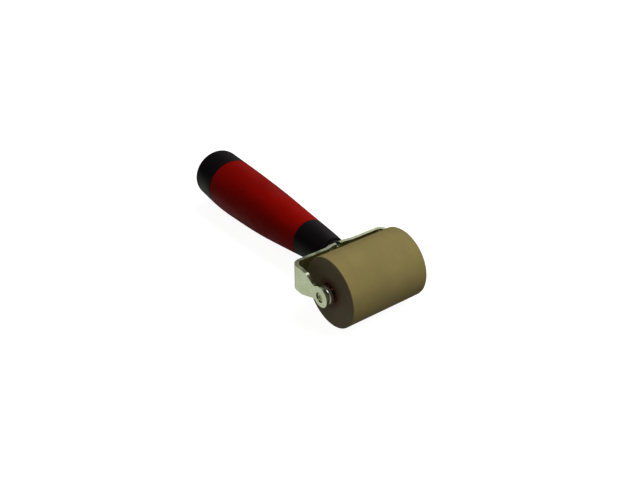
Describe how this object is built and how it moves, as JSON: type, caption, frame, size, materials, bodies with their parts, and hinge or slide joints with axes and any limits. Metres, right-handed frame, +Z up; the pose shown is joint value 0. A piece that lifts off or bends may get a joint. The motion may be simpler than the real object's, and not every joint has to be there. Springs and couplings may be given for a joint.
{
  "type": "seam roller",
  "caption": "Hand seam roller: a rubber-covered roller turns on a fixed axle in a bent steel fork, pushed by a rounded two-colour handle.",
  "frame": {"origin": "on the surface the tool rests on, under the middle of its bounding box and in its plane of symmetry", "axes": "+X along the roller's axle, +Y from the roller to the butt of the handle, +Z up from the surface the tool rests on"},
  "size_m": [0.065, 0.1922, 0.0413],
  "materials": {
    "cover_rubber": "matte olive rubber",
    "core_steel": "turned steel tube",
    "bushing_bronze": "oiled sintered bronze",
    "spacer_steel": "bright plated steel",
    "axle_steel": "dull steel",
    "fork_steel": "bright plated sheet steel",
    "tang_steel": "plated steel rod",
    "nose_black": "black moulding, satin",
    "grip_red": "red soft-touch moulding, satin",
    "cap_black": "black moulding, satin"
  },
  "bodies": {
    "frame": {"fork": "fork_steel", "axle": "axle_steel", "spacer_left": "spacer_steel", "spacer_right": "spacer_steel", "tang": "tang_steel", "handle_core": "nose_black", "grip_sleeve": "grip_red", "end_cap": "cap_black"},
    "roller": {"roller_cover": "cover_rubber", "roller_core": "core_steel", "bushing_left": "bushing_bronze", "bushing_right": "bushing_bronze"}
  },
  "joints": [
    {"name": "roller_spin", "type": "hinge", "parent": "frame", "child": "roller", "pos_m": [0, -0.07522, 0.02065], "axis": [1, 0, 0], "continuous": true}
  ]
}
